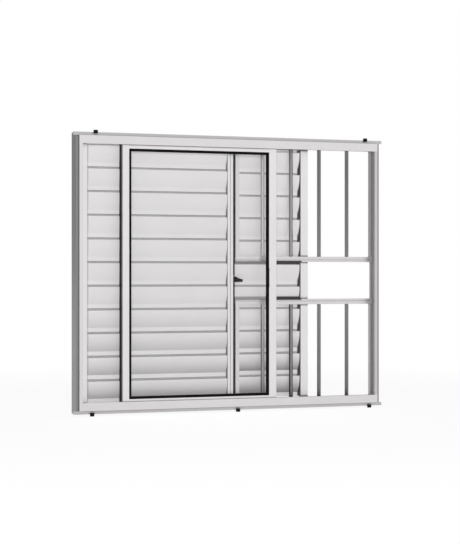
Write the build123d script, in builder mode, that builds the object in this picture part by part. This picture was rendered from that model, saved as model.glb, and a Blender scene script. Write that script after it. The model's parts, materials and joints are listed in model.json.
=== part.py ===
from build123d import *
import os

# A ready-made aluminium window, in millimetres: X runs across as seen from the room,
# Y runs from the room to the outside and Z is up. The origin is on the underside of the
# sill, halfway along it and in the middle of its flat web.

# Driving sizes of the frame
overall_width = 1200.0
overall_height = 1000.0
frame_depth = 72.0
wall = 1.6

# Step that runs round the room side of the frame, where the plaster stops
step_depth = 10.0
step_height = 12.0
rail_overrun = 11.0

# Lips that hide the edges of the leaves
lip_height = 29.5
jamb_lip_width = 12.0
back_lip_height = 36.0
jamb_back_lip_width = 8.4
fin_thickness = 1.4
fin_gap_to_lip = 3.0

# Depth of each layer, measured from the room side of the frame
glass_leaf_depth = 2.6
fixed_leaf_depth = 39.0
sliding_leaf_depth = 55.6
fin_depths = (18.2, 37.0, 53.6)
leaf_thickness = 14.0
tube_wall = 1.3

# Louvre leaves
blade_count = 11
blade_wall = 1.2
blade_end_gap = 0.8
blade_upstand_depth = 12.8
blade_upstand_top = 5.5
blade_ledge_drop = 4.5
blade_face_depth = 1.6
blade_face_drop = 12.0
blade_lip_depth = 9.5
blade_lip_top = 17.5
blade_lip_bottom = 3.0
leaf_head_room = 16.0
leaf_top_rail_gap = 6.0
groove_size = 1.6
fixed_leaf_left = -587.4
fixed_leaf_right = 12.0
fixed_left_stile_width = 46.0
fixed_right_stile_width = 21.5
fixed_blade_pitch = 84.4
fixed_blade_field_bottom = 33.6
sliding_leaf_left = -280.0
sliding_leaf_right = 317.0
sliding_stile_width = 29.2
sliding_blade_pitch = 83.4
sliding_blade_field_bottom = 36.8
fixed_groove_x = 1.0
track_height = 14.0
track_width = 3.0

# Black pile strips that close the gaps between the leaves
seal_bottom = 44.0
seal_top = 952.0
glass_seal_width = 2.4
glass_seal_depth = 22.0
fixed_seal_width = 8.0
fixed_seal_front_gap = 5.0
fixed_seal_thickness = 4.0
fixed_seal_break = (465.5, 490.5)

# Glass leaf
glass_leaf_left = -420.0
glass_leaf_right = 169.0
glass_left_stile_width = 24.0
glass_right_stile_width = 28.8
glass_leaf_bottom = 16.0
glass_leaf_top = 982.0
glass_top_rail_height = 37.6
glass_bottom_rail_height = 34.2
gasket_width = 9.5
gasket_thickness = 3.0
gasket_corner_gap = 0.2
pane_thickness = 4.0
pane_edge_gap = 1.0

# Latches: a thumb grip on the glass leaf and a lever on the fixed leaf
grip_bottom = 448.0
grip_top = 518.0
grip_bulge = 12.0
grip_stand_out = 1.6
grip_thickness = 3.6
lever_length = 40.0
lever_bottom = 466.0
lever_root_top = 490.0
lever_waist_x = 20.0
lever_waist_z = 483.0
lever_nose_bottom = 468.0
lever_nose_top = 476.5
lever_nose_setback = 2.0
lever_front_gap = 1.0
lever_thickness = 11.0

# Grille beside the fixed leaf, in an upper and a lower panel with room for a hand between them
grille_depth = fixed_leaf_depth
grille_thickness = leaf_thickness
grille_left = 21.6
grille_upright_width = 15.0
cross_rail_groove_inset = 7.0
cross_rail_groove_height = 2.2
cross_rail_groove_depth = 0.9
grille_flat_left = 564.8
grille_flat_thickness = 3.0
cross_rail_right = 574.4
upper_cross_rail_bottom = 541.5
upper_cross_rail_top = 561.5
lower_cross_rail_bottom = 383.5
lower_cross_rail_top = 404.0
upper_end_rail_bottom = 961.0
lower_end_rail_top = 38.5
bar_size = 11.2
bar_spacing = 113.6
bar_count = 4
bar_group_centre = 301.5

# Small black pads on the outside of the frame
pad_width = 15.0
pad_height = 12.0
pad_thickness = 6.0
pad_stand_out = 7.5
pad_corner = 1.5
top_pads = {"left": -518.0, "right": 531.0}
bottom_pads = {"left": -531.0, "middle": 20.0, "right": 548.0}

# Places worked out from the sizes above
room_face = -(step_depth + frame_depth) / 2
outside_face = room_face + frame_depth
jamb_face = overall_width / 2 - rail_overrun
lip_edge = jamb_face - step_depth
inner_width = jamb_face - wall
head_lip_bottom = overall_height - step_height - lip_height
sill_lip_top = step_height + lip_height - 0.5
half_leaf = leaf_thickness / 2


def y_at(depth):
    """Y of a point that lies this far behind the room side of the frame."""
    return room_face + depth


def strip(a0, b0, a1, b1, mode=Mode.ADD):
    """One straight wall of a section, between two opposite corners."""
    with Locations(((a0 + a1) / 2, (b0 + b1) / 2)):
        Rectangle(abs(a1 - a0), abs(b1 - b0), mode=mode)


def save(piece, label):
    piece.part.label = label
    export_step(piece.part, f"parts/{label}.step")


def frame_rail(label, outer_z, up, lip_tip_z, tracks=()):
    """Head or sill: a comb section, with up = 1 where the comb points up (the sill)."""
    web_in = outer_z + up * wall
    step_z = outer_z + up * step_height
    fin_tip = lip_tip_z - up * fin_gap_to_lip
    with BuildPart() as rail:
        with BuildSketch(Plane.YZ.offset(-overall_width / 2)):
            strip(y_at(step_depth), outer_z, y_at(step_depth + wall), step_z)
        extrude(amount=overall_width)
        with BuildSketch(Plane.YZ.offset(-jamb_face)):
            strip(y_at(step_depth), outer_z, outside_face, web_in)
        extrude(amount=2 * jamb_face)
        with BuildSketch(Plane.YZ.offset(-lip_edge)):
            strip(room_face, step_z, y_at(wall), lip_tip_z)
            strip(room_face, step_z, y_at(step_depth + wall), step_z + up * wall)
        extrude(amount=2 * lip_edge)
        with BuildSketch(Plane.YZ.offset(-inner_width)):
            strip(y_at(frame_depth - wall), outer_z, outside_face, outer_z + up * back_lip_height)
            for depth in fin_depths:
                strip(y_at(depth), outer_z, y_at(depth + fin_thickness), fin_tip)
        extrude(amount=2 * inner_width)
        if tracks:
            with BuildSketch(Plane.YZ.offset(wall - lip_edge)):
                for depth, foot, crown in tracks:
                    strip(y_at(depth - track_width / 2), foot, y_at(depth + track_width / 2), crown)
            extrude(amount=2 * (lip_edge - wall))
    save(rail, label)


def jamb(label, side):
    """Upright channel of the frame, side = -1 at the left and 1 at the right."""
    with BuildPart() as upright:
        with BuildSketch(Plane.XY.offset(wall)):
            strip(side * inner_width, y_at(step_depth + wall), side * jamb_face, outside_face)
        extrude(amount=overall_height - 2 * wall)
        with BuildSketch(Plane.XY.offset(step_height + wall)):
            strip(side * (lip_edge - wall), y_at(step_depth), side * jamb_face, y_at(step_depth + wall))
            strip(side * (lip_edge - wall), y_at(wall), side * lip_edge, y_at(step_depth + wall))
        extrude(amount=overall_height - 2 * step_height - 2 * wall)
        with BuildSketch(Plane.XY.offset(sill_lip_top)):
            strip(side * (lip_edge - jamb_lip_width), room_face, side * lip_edge, y_at(wall))
        extrude(amount=head_lip_bottom - sill_lip_top)
        with BuildSketch(Plane.XY.offset(back_lip_height)):
            strip(side * (jamb_face - wall - jamb_back_lip_width), y_at(frame_depth - wall),
                  side * jamb_face, outside_face)
        extrude(amount=overall_height - 2 * back_lip_height)
    save(upright, label)


def pad(label, x, outward_z):
    """Black block seated on the step, standing proud of the frame."""
    centre_z = outward_z + (pad_stand_out - pad_height / 2) * (1 if outward_z > 0 else -1)
    with BuildPart() as block:
        with BuildSketch(Plane.XZ.offset(-y_at(step_depth - pad_thickness))):
            with Locations((x, centre_z)):
                RectangleRounded(pad_width, pad_height, pad_corner)
        extrude(amount=-pad_thickness)
    save(block, label)


def stile(label, x0, x1, depth, z0, z1, groove_x=None):
    """Upright tube of a leaf."""
    with BuildPart() as tube:
        with BuildSketch(Plane.XY.offset(z0)):
            strip(x0, y_at(depth), x1, y_at(depth + leaf_thickness))
            strip(x0 + tube_wall, y_at(depth + tube_wall), x1 - tube_wall,
                  y_at(depth + leaf_thickness - tube_wall), mode=Mode.SUBTRACT)
            if groove_x is not None:
                half_groove = groove_size / 2
                strip(groove_x - half_groove, y_at(depth), groove_x + half_groove,
                      y_at(depth + half_groove), mode=Mode.SUBTRACT)
        extrude(amount=z1 - z0)
    save(tube, label)


def leaf_rail(label, x0, x1, depth, z0, z1):
    """Level tube of a leaf, between its stiles."""
    with BuildPart() as tube:
        with BuildSketch(Plane.YZ.offset(x0)):
            strip(y_at(depth), z0, y_at(depth + leaf_thickness), z1)
            strip(y_at(depth + tube_wall), z0 + tube_wall, y_at(depth + leaf_thickness - tube_wall),
                  z1 - tube_wall, mode=Mode.SUBTRACT)
        extrude(amount=x1 - x0)
    save(tube, label)


def blade_section(pitch):
    """Thin folded blade: upstand, ledge, face, hollow slope and drip lip, from the top down."""
    with BuildSketch() as section:
        with BuildLine():
            Polyline(
                (blade_upstand_depth, pitch + blade_upstand_top),
                (blade_upstand_depth, pitch - blade_ledge_drop),
                (blade_face_depth, pitch - blade_ledge_drop),
                (blade_face_depth, pitch - blade_face_drop),
            )
            TangentArc((blade_face_depth, pitch - blade_face_drop), (blade_lip_depth, blade_lip_top),
                       tangent=(0, -1))
            Line((blade_lip_depth, blade_lip_top), (blade_lip_depth, blade_lip_bottom))
            offset(amount=blade_wall, side=Side.LEFT)
        make_face()
    return section.sketch


def blades(label, x0, x1, depth, pitch, z0):
    """The fixed blades of one leaf, equal and parallel."""
    with BuildPart() as rack:
        with BuildSketch(Plane.YZ.offset(x0)):
            with Locations(*[(y_at(depth), z0 + row * pitch) for row in range(blade_count)]):
                add(blade_section(pitch))
        extrude(amount=x1 - x0)
    save(rack, label)


def louvre_leaf(name, left, right, left_width, right_width, depth, pitch, field_bottom, groove):
    field_top = field_bottom + blade_count * pitch
    top = field_top + leaf_head_room
    stile(f"{name}_left_stile", left, left + left_width, depth, track_height, top)
    stile(f"{name}_right_stile", right - right_width, right, depth, track_height, top, groove)
    leaf_rail(f"{name}_top_rail", left + left_width, right - right_width, depth,
              field_top + leaf_top_rail_gap, top)
    leaf_rail(f"{name}_bottom_rail", left + left_width, right - right_width, depth,
              track_height, field_bottom)
    blades(f"{name}_blades", left + left_width + blade_end_gap, right - right_width - blade_end_gap,
           depth, pitch, field_bottom)


def glass_leaf():
    left_edge = glass_leaf_left + glass_left_stile_width
    right_edge = glass_leaf_right - glass_right_stile_width
    low = glass_leaf_bottom + glass_bottom_rail_height
    high = glass_leaf_top - glass_top_rail_height
    stile("glass_leaf_left_stile", glass_leaf_left, left_edge, glass_leaf_depth,
          glass_leaf_bottom, glass_leaf_top)
    stile("glass_leaf_right_stile", right_edge, glass_leaf_right, glass_leaf_depth,
          glass_leaf_bottom, glass_leaf_top)
    leaf_rail("glass_leaf_top_rail", left_edge, right_edge, glass_leaf_depth, high, glass_leaf_top)
    leaf_rail("glass_leaf_bottom_rail", left_edge, right_edge, glass_leaf_depth, glass_leaf_bottom, low)
    pane_front = glass_leaf_depth + (leaf_thickness - pane_thickness) / 2
    pane_back = pane_front + pane_thickness
    with BuildPart() as pane:
        with BuildSketch(Plane.XZ.offset(-y_at(pane_front))):
            strip(left_edge + pane_edge_gap, low + pane_edge_gap,
                  right_edge - pane_edge_gap, high - pane_edge_gap)
        extrude(amount=-pane_thickness)
    save(pane, "glass_pane")
    inner_low = low + gasket_width + gasket_corner_gap
    inner_high = high - gasket_width - gasket_corner_gap
    with BuildPart() as gasket:
        for depth in (pane_front - gasket_thickness, pane_back):
            with BuildSketch(Plane.XZ.offset(-y_at(depth))):
                strip(left_edge, low, right_edge, low + gasket_width)
                strip(left_edge, high - gasket_width, right_edge, high)
                strip(left_edge, inner_low, left_edge + gasket_width, inner_high)
                strip(right_edge - gasket_width, inner_low, right_edge, inner_high)
            extrude(amount=-gasket_thickness)
    save(gasket, "glass_gasket")
    thumb_grip(right_edge)


def thumb_grip(edge):
    """Curved grip on the inner edge of the glass leaf's right stile."""
    with BuildPart() as grip:
        with BuildSketch(Plane.XZ.offset(-y_at(glass_leaf_depth - grip_stand_out))):
            with BuildLine():
                ThreePointArc((edge, grip_bottom), (edge - grip_bulge, (grip_bottom + grip_top) / 2),
                              (edge, grip_top))
                Line((edge, grip_top), (edge, grip_bottom))
            make_face()
        extrude(amount=-grip_thickness)
    save(grip, "glass_leaf_latch")


def louvre_latch():
    """Lever on the edge of the fixed leaf, in front of the sliding blades."""
    root = (fixed_leaf_right, lever_root_top)
    waist = (fixed_leaf_right + lever_waist_x, lever_waist_z)
    nose_top = (fixed_leaf_right + lever_length, lever_nose_top)
    nose_bottom = (fixed_leaf_right + lever_length - lever_nose_setback, lever_nose_bottom)
    heel = (fixed_leaf_right, lever_bottom)
    with BuildPart() as lever:
        with BuildSketch(Plane.XZ.offset(-y_at(fixed_leaf_depth + lever_front_gap))):
            with BuildLine():
                Spline(root, waist, nose_top)
                Polyline(nose_top, nose_bottom, heel, root)
            make_face()
        extrude(amount=-lever_thickness)
    save(lever, "louvre_latch")


def pile_seals():
    """Strip behind the glass leaf's left edge, and strip beside the fixed leaf, broken at its lever."""
    seal_front = glass_leaf_depth + leaf_thickness
    with BuildPart() as strip_behind:
        with BuildSketch(Plane.XY.offset(seal_bottom)):
            strip(glass_leaf_left, y_at(seal_front), glass_leaf_left + glass_seal_width,
                  y_at(seal_front + glass_seal_depth))
        extrude(amount=seal_top - seal_bottom)
    save(strip_behind, "glass_leaf_seal")
    seal_front = fixed_leaf_depth + fixed_seal_front_gap
    break_low, break_high = fixed_seal_break
    with BuildPart() as strip_beside:
        for z0, z1 in ((seal_bottom, break_low), (break_high, seal_top)):
            with BuildSketch(Plane.XY.offset(z0)):
                strip(fixed_leaf_right, y_at(seal_front), fixed_leaf_right + fixed_seal_width,
                      y_at(seal_front + fixed_seal_thickness))
            extrude(amount=z1 - z0)
    save(strip_beside, "fixed_leaf_seal")


def grille_rail(label, right, z0, z1, groove_z=None):
    """Level tube of the grille, with a groove along its face if groove_z is given."""
    back = grille_depth + grille_thickness
    with BuildPart() as rail:
        with BuildSketch(Plane.YZ.offset(grille_left)):
            strip(y_at(grille_depth), z0, y_at(back), z1)
            strip(y_at(grille_depth + tube_wall), z0 + tube_wall, y_at(back - tube_wall), z1 - tube_wall,
                  mode=Mode.SUBTRACT)
            if groove_z is not None:
                strip(y_at(grille_depth), groove_z, y_at(grille_depth + cross_rail_groove_depth),
                      groove_z + cross_rail_groove_height, mode=Mode.SUBTRACT)
        extrude(amount=right - grille_left)
    save(rail, label)


def grille_uprights(name, low, high):
    """Square tube at the left, flat strip at the right and the bars between them."""
    back = grille_depth + grille_thickness
    tube_right = grille_left + grille_upright_width
    with BuildPart() as upright:
        with BuildSketch(Plane.XY.offset(low)):
            strip(grille_left, y_at(grille_depth), tube_right, y_at(back))
            strip(grille_left + tube_wall, y_at(grille_depth + tube_wall), tube_right - tube_wall,
                  y_at(back - tube_wall), mode=Mode.SUBTRACT)
        extrude(amount=high - low)
    save(upright, f"{name}_left_upright")
    with BuildPart() as flat:
        with BuildSketch(Plane.XY.offset(low)):
            strip(grille_flat_left, y_at(grille_depth), grille_flat_left + grille_flat_thickness, y_at(back))
        extrude(amount=high - low)
    save(flat, f"{name}_right_upright")
    bore = bar_size - 2 * tube_wall
    with BuildPart() as bars:
        with BuildSketch(Plane.XY.offset(low)):
            with Locations((bar_group_centre, y_at(grille_depth + grille_thickness / 2))):
                with GridLocations(bar_spacing, 0, bar_count, 1):
                    Rectangle(bar_size, bar_size, rotation=45)
                    Rectangle(bore, bore, rotation=45, mode=Mode.SUBTRACT)
        extrude(amount=high - low)
    save(bars, f"{name}_bars")


def main():
    os.makedirs("parts", exist_ok=True)
    tracks = (
        (glass_leaf_depth + half_leaf, step_height, glass_leaf_bottom),
        (fixed_leaf_depth + half_leaf, 0.0, track_height),
        (sliding_leaf_depth + half_leaf, 0.0, track_height),
    )
    frame_rail("sill", 0.0, 1, sill_lip_top, tracks)
    frame_rail("head", overall_height, -1, head_lip_bottom)
    jamb("left_jamb", -1)
    jamb("right_jamb", 1)
    for place, x in top_pads.items():
        pad(f"pad_top_{place}", x, overall_height)
    for place, x in bottom_pads.items():
        pad(f"pad_bottom_{place}", x, 0.0)
    louvre_leaf("fixed_leaf", fixed_leaf_left, fixed_leaf_right, fixed_left_stile_width,
                fixed_right_stile_width, fixed_leaf_depth, fixed_blade_pitch,
                fixed_blade_field_bottom, fixed_groove_x)
    louvre_leaf("sliding_leaf", sliding_leaf_left, sliding_leaf_right, sliding_stile_width,
                sliding_stile_width, sliding_leaf_depth, sliding_blade_pitch,
                sliding_blade_field_bottom, None)
    louvre_latch()
    glass_leaf()
    pile_seals()
    grille_rail("grille_upper_cross_rail", cross_rail_right, upper_cross_rail_bottom,
                upper_cross_rail_top, upper_cross_rail_bottom + cross_rail_groove_inset)
    grille_rail("grille_upper_end_rail", inner_width, upper_end_rail_bottom, overall_height - wall)
    grille_uprights("grille_upper", upper_cross_rail_top, upper_end_rail_bottom)
    grille_rail("grille_lower_cross_rail", cross_rail_right, lower_cross_rail_bottom, lower_cross_rail_top,
                lower_cross_rail_top - cross_rail_groove_inset - cross_rail_groove_height)
    grille_rail("grille_lower_end_rail", inner_width, track_height, lower_end_rail_top)
    grille_uprights("grille_lower", lower_end_rail_top, lower_cross_rail_bottom)


main()
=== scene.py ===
import json
import math
import random

import bmesh
import bpy
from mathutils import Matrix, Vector


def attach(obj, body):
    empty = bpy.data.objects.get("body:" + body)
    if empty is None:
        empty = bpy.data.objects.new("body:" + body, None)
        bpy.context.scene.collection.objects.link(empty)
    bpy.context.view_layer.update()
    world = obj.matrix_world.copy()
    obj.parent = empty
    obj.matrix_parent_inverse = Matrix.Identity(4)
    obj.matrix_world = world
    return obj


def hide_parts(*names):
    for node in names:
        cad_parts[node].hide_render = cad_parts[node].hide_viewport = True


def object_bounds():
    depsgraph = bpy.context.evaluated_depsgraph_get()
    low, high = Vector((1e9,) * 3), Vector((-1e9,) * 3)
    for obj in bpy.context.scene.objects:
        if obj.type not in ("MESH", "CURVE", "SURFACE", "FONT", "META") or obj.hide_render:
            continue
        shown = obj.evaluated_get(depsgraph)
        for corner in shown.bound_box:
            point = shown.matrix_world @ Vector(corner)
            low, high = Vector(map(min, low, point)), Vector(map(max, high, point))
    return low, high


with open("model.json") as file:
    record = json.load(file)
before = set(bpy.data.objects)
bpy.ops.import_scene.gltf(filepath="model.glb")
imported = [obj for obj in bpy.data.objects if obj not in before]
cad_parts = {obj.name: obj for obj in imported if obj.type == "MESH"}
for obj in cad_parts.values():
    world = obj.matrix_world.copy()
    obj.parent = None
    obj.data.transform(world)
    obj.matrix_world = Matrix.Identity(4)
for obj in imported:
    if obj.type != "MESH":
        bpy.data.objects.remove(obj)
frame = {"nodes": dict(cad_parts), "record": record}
cad_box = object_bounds()
nodes = frame["nodes"]
scene = bpy.context.scene

# Camera of the photograph, fitted to the corners of the frame; angles in radians, places in metres.
VIEW_ANGLE = math.radians(20.25)
CAMERA_PLACE = (-2.0085, -5.4853, 0.5)
LENS = 105.2
SHIFT = (-0.0067, 0.0020)

# Colours of the finishes, in linear light.
FRAME_COLOUR = (0.74, 0.718, 0.722)
LEAF_COLOUR = (0.81, 0.786, 0.790)
BLADE_COLOUR = (0.775, 0.753, 0.757)
GRILLE_COLOUR = (0.70, 0.680, 0.684)
BAR_COLOUR = (0.46, 0.447, 0.450)
# The bars' colour painted lighter where they stand before the leaf; the two bar colours are painted light and
# shade on one aluminium.
BAR_PAINTED_LIGHT_OVER_LEAF = (0.70, 0.680, 0.684)
RUBBER_COLOUR = (0.004, 0.004, 0.004)
PLASTIC_COLOUR = (0.005, 0.005, 0.005)
WHITE = (1.0, 1.0, 1.0)

# The aluminium's colour is multiplied by these: between and on the die lines, in the clouds of
# the anodising, on worn edges, in painted shade, in painted shade down the blades' slopes, and on the bars
# towards the sill.
LINE_TONES = (0.97, 1.03)
CLOUD_TONE = 0.93
WORN_TONE = 1.12
PAINTED_SHADE_TONE = 0.06
SLOPE_SHADE_TONE = 0.02
BAR_LOW_TONE = 0.1
ROUGHNESS = 0.34
EDGE_RADIUS = 0.0005

# Metallic weight, reach of the shade painted into crevices in metres, and the openness
# at which that painted shade starts and is complete, for each finish.
METAL = {"frame": 0.45, "leaf": 0.45, "blade": 0.05, "grille": 0.6, "bar": 1.0}
CREVICE_SHADE = {
    "frame": (0.014, 0.72, 0.25),
    "leaf": (0.010, 0.95, 0.55),
    "blade": (0.012, 0.77, 0.36),
    "grille": (0.010, 0.80, 0.35),
    "bar": (0.018, 0.88, 0.38),
}

# Painted shade on the frame: tones of the flange that the plaster meets on level rails (x) and on
# jambs (z), of the right jamb and of the outer walls, with the edges between them in metres.
FLANGE_SHADE_TONE = {"x": 0.70, "z": 0.36}
RIGHT_JAMB_SHADE_TONE = 0.79
RIGHT_JAMB_FROM = 0.55
OUTER_WALL_SHADE_TONE = 0.43
MID_HEIGHT = 0.5
LIP_EDGE, LIP_RISE = 0.5792, 0.4882
OUTER_WALL, OUTER_RISE = 0.5885, 0.4995
STEP_FACE = -0.0303

# A face is turned to the left or to the room where its normal's part is below this.
LEFT_NORMAL = -0.7
ROOM_NORMAL = 0.05

# Painted shade on the sliding leaf and the cross rails beside the hand gap: height of each band, its half
# height and where it has faded; the reach along X and the weights behind the glass and in the open.
RAIL_SHADE = ((0.5390, 0.0062, 0.0085), (0.4065, 0.0050, 0.0085))
RAIL_SHADE_SPAN = (0.0150, 0.2850)
RAIL_SHADE_BEHIND_GLASS, RAIL_SHADE_IN_THE_OPEN = 0.55, 0.98
GLASS_EDGE = (0.145, 0.165)

# Painted shade on the leaves: on sides turned to the left, and a painted shadow on the top rails under the
# head's lip.
LEFT_SIDE_SHADE = 0.7
LIP_SHADOW_HEIGHTS = (0.9545, 0.9570)
LIP_SHADOW = 0.8

# Front and back of the fixed leaf's and the sliding leaf's blades, and the painted shade at the ends of
# blades: place along X, the blades' depths, half width at the front and at the back, and weight.
BLADE_DEPTHS = ((-0.0004, 0.0075), (0.0162, 0.0241))
BLADE_ENDS = (
    (-0.0095, BLADE_DEPTHS[0], (0.0004, 0.0045), 0.6),
    (0.2872, BLADE_DEPTHS[1], (0.0035, 0.0105), 1.0),
    (-0.5414, BLADE_DEPTHS[0], (0.0070, 0.0070), 0.28),
    (-0.4175, BLADE_DEPTHS[0], (0.0042, 0.0025), 1.0),
    (-0.4115, BLADE_DEPTHS[0], (0.0072, 0.0078), 1.0),
)
BLADE_END_FADE = (0.7, 1.1)

# Painted shade in the hollow slopes of the fixed and the sliding leaf's blades: its most, and the heights
# between which it grows from none to full. The lip in front of a slope and its back edge are left unshaded.
SLOPE_SHADE = (0.42, 0.66)
SLOPE_SHADE_HEIGHTS = ((0.42, 0.12), (0.34, 0.14))
LIP_FRONT, SLOPE_BACK = 0.00002, 0.0001

# Bars: where their colour turns from the lighter one painted over the leaf to the open one, painted shade low
# and high on their left sides, where it starts behind the glass and on the face, and the darkening toward the
# sill.
BAR_FADE = (0.28, 0.30)
BAR_SIDE_SHADE = (0.92, 0.60)
BAR_SIDE_SHADE_HEIGHTS = (0.38, 0.56)
BAR_SIDE_SHADE_REACH = (0.18, 0.20)
BAR_SIDE_SHADE_BEHIND_GLASS = 0.8
BAR_SIDE_SHADE_DEPTHS = (0.0005, 0.0022)
BAR_LOW_HEIGHTS = (0.56, 0.05)
BAR_LOW_DARKENING = 0.5

# Black parts: colour, roughness and scale of the grain. Glass: refraction kept low, so that it
# mirrors the white studio only faintly.
POLYMERS = {"black_rubber": (RUBBER_COLOUR, 0.62, 900.0), "black_plastic": (PLASTIC_COLOUR, 0.45, 1400.0)}
GLASS_IOR = 1.22

# Studio: strength of the world as light, overall and on its dark left and far right; lamps; floor.
AMBIENT = 0.24
DARK_SIDE = 0.11
FAR_SIDE = 0.25
KEY_PLACE, KEY_TARGET = (-2.3, -6.0, 1.6), (0.0, 0.0, 0.5)
KEY_SIZE, KEY_ENERGY = 1.0, 112.0
FILL_DIRECTION, FILL_ENERGY = (-1.0, 1.0, -0.45), 1.8
FLOOR_HEIGHT = cad_box[0][2] - 0.0004
FLOOR_REACH = 30.0
WHITE_FLOOR_FROM, WHITE_FLOOR_TO = 1.2, 3.0
FLOOR_GLOW = 0.86

# Sizes of the pieces in millimetres; depth runs from the room face of the frame to the outside.
ROOM_FACE = -41.0
GASKET_SPAN = (-396.0, 140.2)
GASKET_RISE = (50.2, 944.4)
BEAD_WIDTH = 9.5
FRONT_BEAD = (7.6, 4.6)
BACK_BEAD = (11.6, 14.6)
GRIP_EDGE = 140.2
GRIP_ENDS = (448.0, 518.0)
GRIP_BULGE = 12.0
GRIP_DEPTH = (1.0, 4.6)
GRIP_PITCH = 5.0
GRIP_STEPS = 112
RIDGE_HEIGHT = 0.7
LEVER_DEPTH = (40.0, 51.0)
LEVER_CORNER = 2.2
PAD_SIZE = (15.0, 12.0)
PAD_DEPTH = (4.0, 10.0)
PAD_CORNER = 1.5
PAD_RIBS = 4
PADS = {
    "pad_top_left": (-518.0, 1001.5),
    "pad_top_right": (531.0, 1001.5),
    "pad_bottom_left": (-531.0, -1.5),
    "pad_bottom_middle": (20.0, -1.5),
    "pad_bottom_right": (548.0, -1.5),
}
# Pile seals: sides, depths, the lengths they come in, and the spacing of the tufts.
SEALS = {
    "glass_leaf_seal": ((-420.0, -417.6), (16.6, 38.6), ((44.0, 952.0),), 1.1),
    "fixed_leaf_seal": ((12.0, 20.0), (44.0, 48.0), ((44.0, 465.5), (490.5, 952.0)), 1.6),
}
PILE_CORE = 0.8
RANDOM_SEED = 5700
SHARP_EDGE = math.radians(38)


def node_tree(material):
    """The material's tree, emptied, with its output."""
    material.use_nodes = True
    tree = material.node_tree
    tree.nodes.clear()
    return tree, tree.nodes.new("ShaderNodeOutputMaterial")


def math_node(tree, operation, first, second=None, clamp=False):
    node = tree.nodes.new("ShaderNodeMath")
    node.operation = operation
    node.use_clamp = clamp
    for socket, value in zip(node.inputs, (first, second)):
        if value is None:
            continue
        if isinstance(value, (int, float)):
            socket.default_value = value
        else:
            tree.links.new(value, socket)
    return node.outputs[0]


def noise(tree, stretch, scale, detail=3.0):
    """Noise in the row frame, drawn out where a number of stretch is small."""
    place = tree.nodes.new("ShaderNodeTexCoord")
    mapping = tree.nodes.new("ShaderNodeMapping")
    mapping.inputs["Scale"].default_value = stretch
    texture = tree.nodes.new("ShaderNodeTexNoise")
    texture.inputs["Scale"].default_value = scale
    texture.inputs["Detail"].default_value = detail
    tree.links.new(place.outputs["Object"], mapping.inputs["Vector"])
    tree.links.new(mapping.outputs["Vector"], texture.inputs["Vector"])
    return texture.outputs["Fac"]


def blend_colour(tree, factor, low, high):
    """A colour between low and high; each is a colour or another node's output."""
    mix = tree.nodes.new("ShaderNodeMix")
    mix.data_type = "RGBA"
    tree.links.new(factor, mix.inputs["Factor"])
    for socket, value in ((mix.inputs["A"], low), (mix.inputs["B"], high)):
        if isinstance(value, tuple):
            socket.default_value = (*value, 1.0)
        else:
            tree.links.new(value, socket)
    return mix.outputs["Result"]


def map_range(tree, value, low, high, out_low, out_high):
    node = tree.nodes.new("ShaderNodeMapRange")
    tree.links.new(value, node.inputs["Value"])
    for name, number in (("From Min", low), ("From Max", high), ("To Min", out_low), ("To Max", out_high)):
        node.inputs[name].default_value = number
    return node.outputs["Result"]


def shade(colour, factor):
    return tuple(channel * factor for channel in colour)


def crevice_shade(tree, reach, start, complete, alone=False):
    """1 deep in a crevice and 0 on open faces: the mask of the shade painted into crevices, from ambient
    occlusion.

    With alone, only the creases of the piece itself count.
    """
    occlusion = tree.nodes.new("ShaderNodeAmbientOcclusion")
    occlusion.samples = 8
    occlusion.only_local = alone
    occlusion.inputs["Distance"].default_value = reach
    return map_range(tree, occlusion.outputs["AO"], start, complete, 0.0, 1.0)


def row_place(tree):
    """The place of the shaded point in the row frame, as its three numbers."""
    place = tree.nodes.new("ShaderNodeTexCoord")
    split = tree.nodes.new("ShaderNodeSeparateXYZ")
    tree.links.new(place.outputs["Object"], split.inputs["Vector"])
    return split.outputs["X"], split.outputs["Y"], split.outputs["Z"]


def distance_from(tree, value, centre):
    return math_node(tree, "ABSOLUTE", math_node(tree, "SUBTRACT", value, centre))


def rail_shade(tree):
    """Painted shade in the narrow gap between the sliding leaf and the cross rails, heavier beside the glass
    leaf.
    """
    across, _, height = row_place(tree)
    bands = [map_range(tree, distance_from(tree, height, centre), full, none, 1.0, 0.0)
             for centre, full, none in RAIL_SHADE]
    band = math_node(tree, "MAXIMUM", *bands)
    reached = math_node(tree, "MULTIPLY", math_node(tree, "GREATER_THAN", across, RAIL_SHADE_SPAN[0]),
                        math_node(tree, "LESS_THAN", across, RAIL_SHADE_SPAN[1]))
    weight = map_range(tree, across, *GLASS_EDGE, RAIL_SHADE_BEHIND_GLASS, RAIL_SHADE_IN_THE_OPEN)
    return math_node(tree, "MULTIPLY", math_node(tree, "MULTIPLY", band, reached), weight)


def slope_shade(tree):
    """Painted shade in the hollow slopes of the blades, darker down each slope and on the lower blades."""
    _, depth, height = row_place(tree)
    found = None
    for (front, back), heights, most in zip(BLADE_DEPTHS, SLOPE_SHADE_HEIGHTS, SLOPE_SHADE):
        inward = map_range(tree, depth, front + LIP_FRONT, back, 0.0, 1.0)
        down = math_node(tree, "SQRT", inward)
        slope = math_node(tree, "MULTIPLY", math_node(tree, "GREATER_THAN", depth, front + LIP_FRONT),
                          math_node(tree, "LESS_THAN", depth, back - SLOPE_BACK))
        low = map_range(tree, height, *heights, 0.0, most)
        dust_and_shade = math_node(tree, "MULTIPLY", math_node(tree, "MULTIPLY", down, slope), low)
        found = dust_and_shade if found is None else math_node(tree, "ADD", found, dust_and_shade)
    return found


def blade_end_shade(tree):
    """Painted shade where a blade runs into its stile, wider where the slope is deeper."""
    across, depth, _ = row_place(tree)
    found = None
    for end, faces, widths, weight in BLADE_ENDS:
        width = map_range(tree, depth, *faces, *widths)
        gap = math_node(tree, "DIVIDE", distance_from(tree, across, end), width)
        near = map_range(tree, gap, *BLADE_END_FADE, weight, 0.0)
        found = near if found is None else math_node(tree, "MAXIMUM", found, near)
    return found


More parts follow.
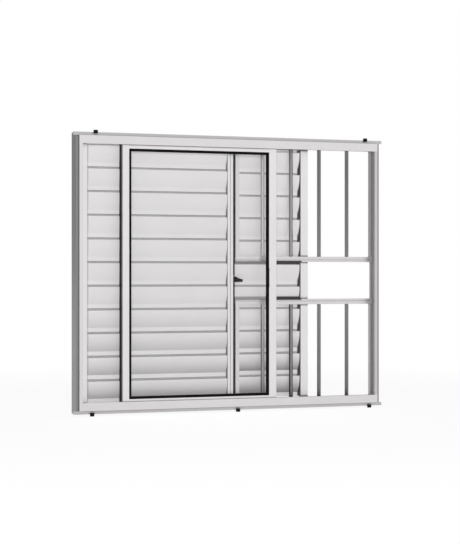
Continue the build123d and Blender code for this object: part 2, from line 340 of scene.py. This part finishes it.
def face_normal(tree):
    """The normal of the shaded face, as its three numbers."""
    surface = tree.nodes.new("ShaderNodeNewGeometry")
    split = tree.nodes.new("ShaderNodeSeparateXYZ")
    tree.links.new(surface.outputs["True Normal"], split.inputs["Vector"])
    return split.outputs["X"], split.outputs["Y"], split.outputs["Z"]


def facing_left(tree):
    """1 on faces turned to the left of the window, else 0."""
    return math_node(tree, "LESS_THAN", face_normal(tree)[0], LEFT_NORMAL)


def facing_room(tree):
    """1 on faces turned to the room, else 0."""
    return math_node(tree, "LESS_THAN", face_normal(tree)[1], ROOM_NORMAL)


def bar_side_shade(tree):
    """Painted shade on the left sides of the bars that stand before the sliding leaf, heavier on the lower
    ones.
    """
    across, depth, height = row_place(tree)
    in_the_open = map_range(tree, across, *BAR_SIDE_SHADE_REACH, BAR_SIDE_SHADE_BEHIND_GLASS, 1.0)
    over = math_node(tree, "MULTIPLY", facing_left(tree), in_the_open)
    over = math_node(tree, "MULTIPLY", over, map_range(tree, depth, *BAR_SIDE_SHADE_DEPTHS, 0.0, 1.0))
    over = math_node(tree, "MULTIPLY", over, math_node(tree, "LESS_THAN", across, BAR_FADE[0]))
    return math_node(tree, "MULTIPLY", over, map_range(tree, height, *BAR_SIDE_SHADE_HEIGHTS, *BAR_SIDE_SHADE))


def flange_and_wall_shade(tree):
    """1 on the flange that the plaster meets, and 1 on the outer walls, else 0: where shade is painted on the
    frame.
    """
    across, depth, height = row_place(tree)
    sideways = math_node(tree, "ABSOLUTE", across)
    from_middle = distance_from(tree, height, MID_HEIGHT)
    beyond = math_node(tree, "MAXIMUM", math_node(tree, "GREATER_THAN", sideways, LIP_EDGE),
                       math_node(tree, "GREATER_THAN", from_middle, LIP_RISE))
    in_front = math_node(tree, "LESS_THAN", depth, STEP_FACE)
    outside = math_node(tree, "MAXIMUM", math_node(tree, "GREATER_THAN", sideways, OUTER_WALL),
                        math_node(tree, "GREATER_THAN", from_middle, OUTER_RISE))
    return math_node(tree, "MULTIPLY", beyond, in_front), outside


def painted_place_tones(tree, kind, along, colour, finish):
    """The finish with its place on the window painted in: shade on the right jamb, the flange, the outer walls
    and the blades' slopes, lighter bars over the leaf, and bars darker towards the sill.
    """
    if kind == "frame":
        if along == "z":
            # Painted shade on the right jamb.
            right = math_node(tree, "GREATER_THAN", row_place(tree)[0], RIGHT_JAMB_FROM)
            finish = blend_colour(tree, right, finish, shade(colour, RIGHT_JAMB_SHADE_TONE))
        # Painted shade on the flange and the outer walls.
        flange, outside = flange_and_wall_shade(tree)
        finish = blend_colour(tree, outside, finish, shade(colour, OUTER_WALL_SHADE_TONE))
        finish = blend_colour(tree, flange, finish, shade(colour, FLANGE_SHADE_TONE[along]))
    if kind == "blade":
        # Painted shade down the blades' slopes.
        dusted_and_shaded = math_node(tree, "MULTIPLY", slope_shade(tree), facing_room(tree))
        finish = blend_colour(tree, dusted_and_shaded, finish, shade(colour, SLOPE_SHADE_TONE))
    if kind == "bar":
        across, _, height = row_place(tree)
        # Painted light: the bars are lighter before the leaf.
        finish = blend_colour(tree, map_range(tree, across, *BAR_FADE, 1.0, 0.0), finish, BAR_PAINTED_LIGHT_OVER_LEAF)
        # The bars darken towards the sill.
        finish = blend_colour(tree, map_range(tree, height, *BAR_LOW_HEIGHTS, 0.0, BAR_LOW_DARKENING), finish,
                              shade(colour, BAR_LOW_TONE))
    return finish


def painted_shade(tree, kind, along):
    """1 where the painted shade is full, in crevices and where parts pass close to each other, and 0 on open
    faces.
    """
    # Painted shade in crevices, from ambient occlusion.
    dark = crevice_shade(tree, *CREVICE_SHADE[kind], alone=kind == "blade")
    if kind in ("blade", "grille"):
        # Painted shade beside the cross rails.
        found = rail_shade(tree)
        if kind == "blade":
            # Painted shade where the blades meet the stiles.
            found = math_node(tree, "MAXIMUM", found, blade_end_shade(tree))
        dark = math_node(tree, "MAXIMUM", dark, math_node(tree, "MULTIPLY", found, facing_room(tree)))
    if kind == "bar":
        # Painted shade on the bars' left sides.
        dark = math_node(tree, "MAXIMUM", dark, bar_side_shade(tree))
    if kind == "leaf":
        # Painted shade on the leaves' sides turned to the left.
        dark = math_node(tree, "MAXIMUM", dark, math_node(tree, "MULTIPLY", facing_left(tree), LEFT_SIDE_SHADE))
        if along == "x":
            # Painted shadow under the head's lip.
            under_lip = map_range(tree, row_place(tree)[2], *LIP_SHADOW_HEIGHTS, 0.0, LIP_SHADOW)
            dark = math_node(tree, "MAXIMUM", dark, math_node(tree, "MULTIPLY", under_lip, facing_room(tree)))
    return dark


def aluminium(name, colour, along):
    """Anodised extrusion: die lines along its length, soft clouding and brighter worn edges."""
    material = bpy.data.materials.new(name)
    tree, output = node_tree(material)
    shader = tree.nodes.new("ShaderNodeBsdfPrincipled")
    kind = name.split("_")[0]
    shader.inputs["Metallic"].default_value = METAL[kind]
    shader.inputs["IOR"].default_value = 1.5
    stretch = {"x": (3.0, 2500.0, 2500.0), "z": (2500.0, 2500.0, 3.0)}[along]
    lines = noise(tree, stretch, 1.0, 2.0)
    clouds = noise(tree, (1.0, 1.0, 1.0), 9.0)
    rounded = tree.nodes.new("ShaderNodeBevel")
    rounded.samples = 4
    rounded.inputs["Radius"].default_value = EDGE_RADIUS
    flat = tree.nodes.new("ShaderNodeNewGeometry")
    facing = tree.nodes.new("ShaderNodeVectorMath")
    facing.operation = "DOT_PRODUCT"
    tree.links.new(rounded.outputs["Normal"], facing.inputs[0])
    tree.links.new(flat.outputs["Normal"], facing.inputs[1])
    edge = map_range(tree, facing.outputs["Value"], 0.99, 0.80, 0.0, 1.0)
    lined = blend_colour(tree, lines, *(shade(colour, tone) for tone in LINE_TONES))
    cloudy = map_range(tree, clouds, 0.35, 0.65, 0.0, 0.35)
    clouded = blend_colour(tree, cloudy, lined, shade(colour, CLOUD_TONE))
    worn = blend_colour(tree, math_node(tree, "MULTIPLY", edge, 0.5), clouded, shade(colour, WORN_TONE))
    # Painted light and shade by place on the window.
    finish = painted_place_tones(tree, kind, along, colour, worn)
    # The colour is darkened here by all the painted shade.
    tree.links.new(blend_colour(tree, painted_shade(tree, kind, along), finish, shade(colour, PAINTED_SHADE_TONE)),
                   shader.inputs["Base Color"])
    tree.links.new(map_range(tree, lines, 0.3, 0.7, ROUGHNESS - 0.04, ROUGHNESS + 0.04),
                   shader.inputs["Roughness"])
    bump = tree.nodes.new("ShaderNodeBump")
    bump.inputs["Strength"].default_value = 0.05
    bump.inputs["Distance"].default_value = 0.0001
    tree.links.new(lines, bump.inputs["Height"])
    tree.links.new(rounded.outputs["Normal"], bump.inputs["Normal"])
    tree.links.new(bump.outputs["Normal"], shader.inputs["Normal"])
    tree.links.new(shader.outputs["BSDF"], output.inputs["Surface"])
    return material


def black_polymer(name, colour, roughness, grain_scale):
    """Moulded black plastic or rubber with a fine grain and dust on it."""
    material = bpy.data.materials.new(name)
    tree, output = node_tree(material)
    shader = tree.nodes.new("ShaderNodeBsdfPrincipled")
    shader.inputs["Specular IOR Level"].default_value = 0.12
    grain = noise(tree, (1.0, 1.0, 1.0), grain_scale, 4.0)
    dust_and_shade = noise(tree, (1.0, 1.0, 1.0), 60.0)
    dusted_and_shaded = map_range(tree, dust_and_shade, 0.5, 0.8, 0.0, 0.6)
    tree.links.new(blend_colour(tree, dusted_and_shaded, colour, shade(colour, 2.5)), shader.inputs["Base Color"])
    tree.links.new(map_range(tree, grain, 0.3, 0.7, roughness - 0.08, roughness + 0.10),
                   shader.inputs["Roughness"])
    bump = tree.nodes.new("ShaderNodeBump")
    bump.inputs["Strength"].default_value = 0.35
    bump.inputs["Distance"].default_value = 0.0001
    tree.links.new(grain, bump.inputs["Height"])
    tree.links.new(bump.outputs["Normal"], shader.inputs["Normal"])
    tree.links.new(shader.outputs["BSDF"], output.inputs["Surface"])
    return material


def clear_glass(name):
    """Float glass that lets the lamps' light through to what is behind it."""
    material = bpy.data.materials.new(name)
    tree, output = node_tree(material)
    shader = tree.nodes.new("ShaderNodeBsdfPrincipled")
    shader.inputs["Transmission Weight"].default_value = 1.0
    shader.inputs["IOR"].default_value = GLASS_IOR
    smears = noise(tree, (1.0, 1.0, 0.6), 6.0, 5.0)
    tree.links.new(map_range(tree, smears, 0.45, 0.75, 0.0, 0.03), shader.inputs["Roughness"])
    tree.links.new(blend_colour(tree, smears, (0.995, 1.0, 1.0), (1.0, 1.0, 1.0)),
                   shader.inputs["Base Color"])
    through = tree.nodes.new("ShaderNodeBsdfTransparent")
    through.inputs["Color"].default_value = (0.985, 0.99, 0.99, 1.0)
    path = tree.nodes.new("ShaderNodeLightPath")
    passes = math_node(tree, "MAXIMUM", path.outputs["Is Shadow Ray"], path.outputs["Is Diffuse Ray"])
    mix = tree.nodes.new("ShaderNodeMixShader")
    tree.links.new(passes, mix.inputs["Fac"])
    tree.links.new(shader.outputs["BSDF"], mix.inputs[1])
    tree.links.new(through.outputs["BSDF"], mix.inputs[2])
    tree.links.new(mix.outputs["Shader"], output.inputs["Surface"])
    return material


def seen_directly(tree):
    """1 for rays from the camera and those mirrored or sent through glass, else 0."""
    path = tree.nodes.new("ShaderNodeLightPath")
    mirrored = math_node(tree, "MAXIMUM", path.outputs["Is Glossy Ray"], path.outputs["Is Transmission Ray"])
    return math_node(tree, "MAXIMUM", path.outputs["Is Camera Ray"], mirrored)


def add_world():
    """White where it is seen; as light it is softer, and dark on the left of the studio."""
    world = bpy.data.worlds.new("studio")
    scene.world = world
    world.use_nodes = True
    tree = world.node_tree
    background = tree.nodes["Background"]
    background.inputs["Color"].default_value = (*WHITE, 1.0)
    direction = tree.nodes.new("ShaderNodeTexCoord")
    split = tree.nodes.new("ShaderNodeSeparateXYZ")
    tree.links.new(direction.outputs["Generated"], split.inputs["Vector"])
    left = map_range(tree, split.outputs["X"], -0.55, 0.10, DARK_SIDE, 1.0)
    right = map_range(tree, split.outputs["X"], 0.95, 0.60, FAR_SIDE, 1.0)
    side = math_node(tree, "MULTIPLY", left, right)
    path = tree.nodes.new("ShaderNodeLightPath")
    mirrored = map_range(tree, path.outputs["Is Glossy Ray"], 0.0, 1.0, AMBIENT, 1.0)
    clear = math_node(tree, "MAXIMUM", path.outputs["Is Camera Ray"], path.outputs["Is Transmission Ray"])
    strength = math_node(tree, "MAXIMUM", math_node(tree, "MULTIPLY", mirrored, side), clear)
    tree.links.new(strength, background.inputs["Strength"])


def add_floor():
    """Pale floor that takes the shadow near the object and is plain white further out."""
    mesh = bpy.data.meshes.new("floor")
    reach = FLOOR_REACH
    corners = [(-reach, -reach), (reach, -reach), (reach, reach), (-reach, reach)]
    mesh.from_pydata([(x, y, FLOOR_HEIGHT) for x, y in corners], [], [(0, 1, 2, 3)])
    floor = bpy.data.objects.new("floor", mesh)
    scene.collection.objects.link(floor)
    material = bpy.data.materials.new("floor_paint")
    tree, output = node_tree(material)
    paint = tree.nodes.new("ShaderNodeBsdfDiffuse")
    fleck = noise(tree, (1.0, 1.0, 1.0), 3.0)
    seen = seen_directly(tree)
    lit = blend_colour(tree, fleck, (0.86, 0.86, 0.86), (0.88, 0.88, 0.88))
    tree.links.new(blend_colour(tree, seen, lit, (0.26, 0.26, 0.26)), paint.inputs["Color"])
    glow = tree.nodes.new("ShaderNodeEmission")
    glow.inputs["Color"].default_value = (*WHITE, 1.0)
    place = tree.nodes.new("ShaderNodeTexCoord")
    distance = tree.nodes.new("ShaderNodeVectorMath")
    distance.operation = "LENGTH"
    tree.links.new(place.outputs["Object"], distance.inputs[0])
    tree.links.new(math_node(tree, "MULTIPLY", seen, FLOOR_GLOW), glow.inputs["Strength"])
    near = tree.nodes.new("ShaderNodeAddShader")
    tree.links.new(paint.outputs["BSDF"], near.inputs[0])
    tree.links.new(glow.outputs["Emission"], near.inputs[1])
    far = tree.nodes.new("ShaderNodeEmission")
    tree.links.new(map_range(tree, seen, 0.0, 1.0, 0.7, 1.0), far.inputs["Strength"])
    outward = map_range(tree, distance.outputs["Value"], WHITE_FLOOR_FROM, WHITE_FLOOR_TO, 0.0, 1.0)
    mix = tree.nodes.new("ShaderNodeMixShader")
    tree.links.new(outward, mix.inputs["Fac"])
    tree.links.new(near.outputs["Shader"], mix.inputs[1])
    tree.links.new(far.outputs["Emission"], mix.inputs[2])
    tree.links.new(mix.outputs["Shader"], output.inputs["Surface"])
    mesh.materials.append(material)


def add_lamp(name, place, target, size, energy):
    lamp = bpy.data.lights.new(name, "AREA")
    lamp.shape = "SQUARE"
    lamp.size = size
    lamp.energy = energy
    holder = bpy.data.objects.new(name, lamp)
    holder.location = place
    holder.rotation_euler = (Vector(target) - Vector(place)).to_track_quat("-Z", "Y").to_euler()
    holder.visible_glossy = False
    holder.visible_transmission = False
    scene.collection.objects.link(holder)


def add_fill():
    """Even light from the right that reaches into the recesses and casts no shadow."""
    lamp = bpy.data.lights.new("fill", "SUN")
    lamp.energy = FILL_ENERGY
    lamp.angle = math.radians(30)
    lamp.use_shadow = False
    holder = bpy.data.objects.new("fill", lamp)
    holder.rotation_euler = Vector(FILL_DIRECTION).to_track_quat("-Z", "Y").to_euler()
    holder.visible_glossy = False
    holder.visible_transmission = False
    scene.collection.objects.link(holder)


def add_camera():
    camera = bpy.data.cameras.new("camera")
    camera.lens = LENS
    camera.shift_x, camera.shift_y = SHIFT
    holder = bpy.data.objects.new("camera", camera)
    holder.location = CAMERA_PLACE
    holder.rotation_euler = (math.pi / 2, 0.0, -VIEW_ANGLE)
    scene.collection.objects.link(holder)
    scene.camera = holder


def dress_nodes():
    """Every CAD node's finish, with the die lines along its extrusion; the rubber and plastic are returned."""
    level = ("head", "sill", "rail", "blades")
    finishes = {}
    for slot, colour in (
        ("frame_aluminium", FRAME_COLOUR),
        ("leaf_aluminium", LEAF_COLOUR),
        ("blade_aluminium", BLADE_COLOUR),
        ("grille_aluminium", GRILLE_COLOUR),
        ("bar_aluminium", BAR_COLOUR),
    ):
        for along in "xz":
            finishes[slot, along] = aluminium(f"{slot}_{along}", colour, along)
    special = {name: black_polymer(name, *look) for name, look in POLYMERS.items()}
    special["clear_glass"] = clear_glass("clear_glass")
    for part in frame["record"]["subparts"]:
        slot = "bar_aluminium" if part["node"].endswith("bars") else part["material_slot"]
        along = "x" if part["node"].endswith(level) else "z"
        mesh = nodes[part["node"]].data
        mesh.materials.clear()
        mesh.materials.append(special.get(slot) or finishes[slot, along])
    return special["black_rubber"], special["black_plastic"]


def at(across, depth, height):
    """A place given in millimetres, in the row frame."""
    return Vector((across, ROOM_FACE + depth, height)) / 1000.0


def add_piece(node, finish, skins):
    """A mesh of closed skins in place of its CAD node; a skin is rings of points and whether they loop."""
    shape = bmesh.new()
    for rings, looped in skins:
        rows = [[shape.verts.new(point) for point in ring] for ring in rings]
        pairs = list(zip(rows, rows[1:]))
        if looped:
            pairs.append((rows[-1], rows[0]))
        else:
            shape.faces.new(rows[0])
            shape.faces.new(rows[-1])
        for low, high in pairs:
            for index, corner in enumerate(low):
                following = (index + 1) % len(low)
                shape.faces.new((corner, high[index], high[following], low[following]))
    bmesh.ops.recalc_face_normals(shape, faces=shape.faces)
    for face in shape.faces:
        face.smooth = True
    for edge in shape.edges:
        edge.smooth = edge.calc_face_angle(0.0) < SHARP_EDGE
    mesh = bpy.data.meshes.new(f"{node}_detail")
    shape.to_mesh(mesh)
    shape.free()
    mesh.materials.append(finish)
    piece = bpy.data.objects.new(f"{node}_detail", mesh)
    scene.collection.objects.link(piece)
    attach(piece, "root")
    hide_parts(node)


def rounded_outline(corners, radius, steps=5):
    """Points of a polygon whose corners are rounded, in the plane of the corners."""
    points = []
    for index, corner in enumerate(corners):
        here = Vector(corner)
        back = Vector(corners[index - 1]) - here
        ahead = Vector(corners[(index + 1) % len(corners)]) - here
        reach = min(radius, 0.45 * back.length, 0.45 * ahead.length)
        start, end = here + back.normalized() * reach, here + ahead.normalized() * reach
        for step in range(steps + 1):
            share = step / steps
            points.append(start * (1 - share) ** 2 + here * 2 * share * (1 - share) + end * share ** 2)
    return points


def inset(outline, amount):
    """The outline moved inward by amount along the normals of its points."""
    turn = sum(a.x * b.y - b.x * a.y for a, b in zip(outline, outline[1:] + outline[:1]))
    side = 1.0 if turn > 0 else -1.0
    moved = []
    for index, point in enumerate(outline):
        along = outline[(index + 1) % len(outline)] - outline[index - 1]
        moved.append(point + Vector((-along.y, along.x)).normalized() * amount * side)
    return moved


def soft_prism(outline, layers):
    """Rings of an upright outline at each depth of layers, drawn in by the inset beside it."""
    return [[at(point.x, depth, point.y) for point in inset(outline, amount)] for depth, amount in layers]


def bead(glass_face, outer_face):
    """One bead of the glazing gasket: a mitred loop with a wedge, a rounded nose and a groove."""
    section = ((0.0, 0.0), (0.0, 0.78), (0.25, 0.94), (0.7, 1.0), (2.2, 1.0), (2.5, 0.86), (3.0, 0.86),
               (3.3, 1.0), (6.4, 0.97), (7.8, 0.84), (8.9, 0.62), (9.3, 0.42), (BEAD_WIDTH, 0.2),
               (BEAD_WIDTH, 0.0))
    left, right = GASKET_SPAN
    low, high = GASKET_RISE
    rings = []
    for inward, share in section:
        depth = glass_face + (outer_face - glass_face) * share
        rings.append([at(left + inward, depth, low + inward), at(right - inward, depth, low + inward),
                      at(right - inward, depth, high - inward), at(left + inward, depth, high - inward)])
    return rings, True


def grip():
    """The thumb grip: an arc in the outline, rounded to the room, with finger ridges across it."""
    low, high = GRIP_ENDS
    front, back = GRIP_DEPTH
    half = (high - low) / 2
    radius = (half ** 2 + GRIP_BULGE ** 2) / (2 * GRIP_BULGE)
    rings = []
    for step in range(GRIP_STEPS + 1):
        height = low + (high - low) * step / GRIP_STEPS
        off = height - (low + high) / 2
        width = max(math.sqrt(radius ** 2 - off ** 2) - radius + GRIP_BULGE, 0.12)
        ridge = 0.5 - 0.5 * math.cos(2 * math.pi * off / GRIP_PITCH)
        face = front + (RIDGE_HEIGHT * ridge if abs(off) < 4.5 * GRIP_PITCH else 0.0)
        soft = min(1.3, 0.45 * width)
        ring = [at(GRIP_EDGE, back, height), at(GRIP_EDGE, face, height)]
        for turn in range(5):
            angle = turn * math.pi / 8
            side = GRIP_EDGE - width + soft - soft * math.sin(angle)
            ring.append(at(side, face + soft - soft * math.cos(angle), height))
        ring.append(at(GRIP_EDGE - width, back, height))
        rings.append(ring)
    return rings, False


def lever():
    """The turn lever of the louvre leaf: a soft block with a waist, a nose and a thumb rest."""
    corners = [(12.0, 490.0), (24.0, 486.6), (32.0, 483.0), (33.0, 481.9), (35.5, 480.9), (36.5, 481.4),
               (38.5, 480.6), (39.5, 479.5), (42.0, 478.6), (43.0, 479.1), (52.0, 476.5), (50.0, 468.0),
               (30.0, 467.1), (12.0, 466.0)]
    front, back = LEVER_DEPTH
    layers = ((front, 1.3), (front + 0.25, 0.7), (front + 0.7, 0.25), (front + 1.3, 0.0), (back - 1.3, 0.0),
              (back - 0.7, 0.25), (back - 0.25, 0.7), (back, 1.3))
    return soft_prism(rounded_outline(corners, LEVER_CORNER), layers), False


def pad(across, height):
    """A packer of the frame's edge: a rounded block with moulded ribs round it."""
    half_width, half_height = PAD_SIZE[0] / 2, PAD_SIZE[1] / 2
    corners = [(across - half_width, height - half_height), (across + half_width, height - half_height),
               (across + half_width, height + half_height), (across - half_width, height + half_height)]
    front, back = PAD_DEPTH
    layers = [(front, 0.6), (front + 0.15, 0.25), (front + 0.45, 0.0)]
    for rib in range(PAD_RIBS):
        start = front + 1.0 + rib * 1.1
        layers += [(start, 0.0), (start + 0.15, 0.35), (start + 0.45, 0.35), (start + 0.6, 0.0)]
    layers += [(back - 0.45, 0.0), (back - 0.15, 0.25), (back, 0.6)]
    return soft_prism(rounded_outline(corners, PAD_CORNER), layers), False


def pile_backing(sides, depths, heights):
    """The woven strip that holds the pile: flat, with a rib on each side and a core."""
    (left, right), (front, back), (low, high) = sides, depths, heights
    middle, half = (left + right) / 2, (right - left) / 2
    lean = (back - front) * 0.14
    section = ((-1.0, 0.0), (1.0, 0.0), (1.0, lean * 0.7), (0.85, lean), (PILE_CORE, lean * 1.2),
               (PILE_CORE, lean * 1.5), (-PILE_CORE, lean * 1.5), (-PILE_CORE, lean * 1.2),
               (-0.85, lean), (-1.0, lean * 0.7))
    rings = []
    for height in (low, low + 0.4, high - 0.4, high):
        shrink = 0.93 if height in (low, high) else 1.0
        rings.append([at(middle + half * share * shrink, front + depth, height) for share, depth in section])
    return rings, False


def pile(sides, depths, heights, spacing, chance):
    """The brush itself: rows of tapered tufts with uneven tips, standing on the backing."""
    (left, right), (front, back), (low, high) = sides, depths, heights
    foot = front + (back - front) * 0.16
    radius = (right - left) * 0.26
    tufts = []
    count = int((high - low - 2 * radius) / spacing)
    for row, place in enumerate((left + radius, right - radius)):
        for step in range(count):
            height = low + radius + (step + 0.5 * row) * spacing + chance.uniform(-0.1, 0.1)
            tip = back - chance.uniform(0.0, 0.12) * (back - front)
            rings = []
            for share, wide in ((0.0, 1.0), (0.7, 1.0), (0.92, 0.75), (1.0, 0.3)):
                depth = foot + (tip - foot) * share
                rings.append([at(place + radius * wide * math.cos(turn * math.pi / 2 + 0.4),
                                 depth, height + spacing * 0.7 * wide * math.sin(turn * math.pi / 2 + 0.4))
                              for turn in range(4)])
            tufts.append((rings, False))
    return tufts


def add_pieces(rubber, plastic):
    """The rubber, brush and plastic parts with their moulded shapes."""
    chance = random.Random(RANDOM_SEED)
    add_piece("glass_gasket", rubber, [bead(*FRONT_BEAD), bead(*BACK_BEAD)])
    add_piece("glass_leaf_latch", plastic, [grip()])
    add_piece("louvre_latch", plastic, [lever()])
    for node, place in PADS.items():
        add_piece(node, plastic, [pad(*place)])
    for node, (sides, depths, lengths, spacing) in SEALS.items():
        skins = []
        for heights in lengths:
            skins.append(pile_backing(sides, depths, heights))
            skins += pile(sides, depths, heights, spacing, chance)
        add_piece(node, rubber, skins)


scene.view_settings.view_transform = "Standard"
add_world()
add_floor()
add_lamp("key", KEY_PLACE, KEY_TARGET, KEY_SIZE, KEY_ENERGY)
add_fill()
add_camera()
add_pieces(*dress_nodes())
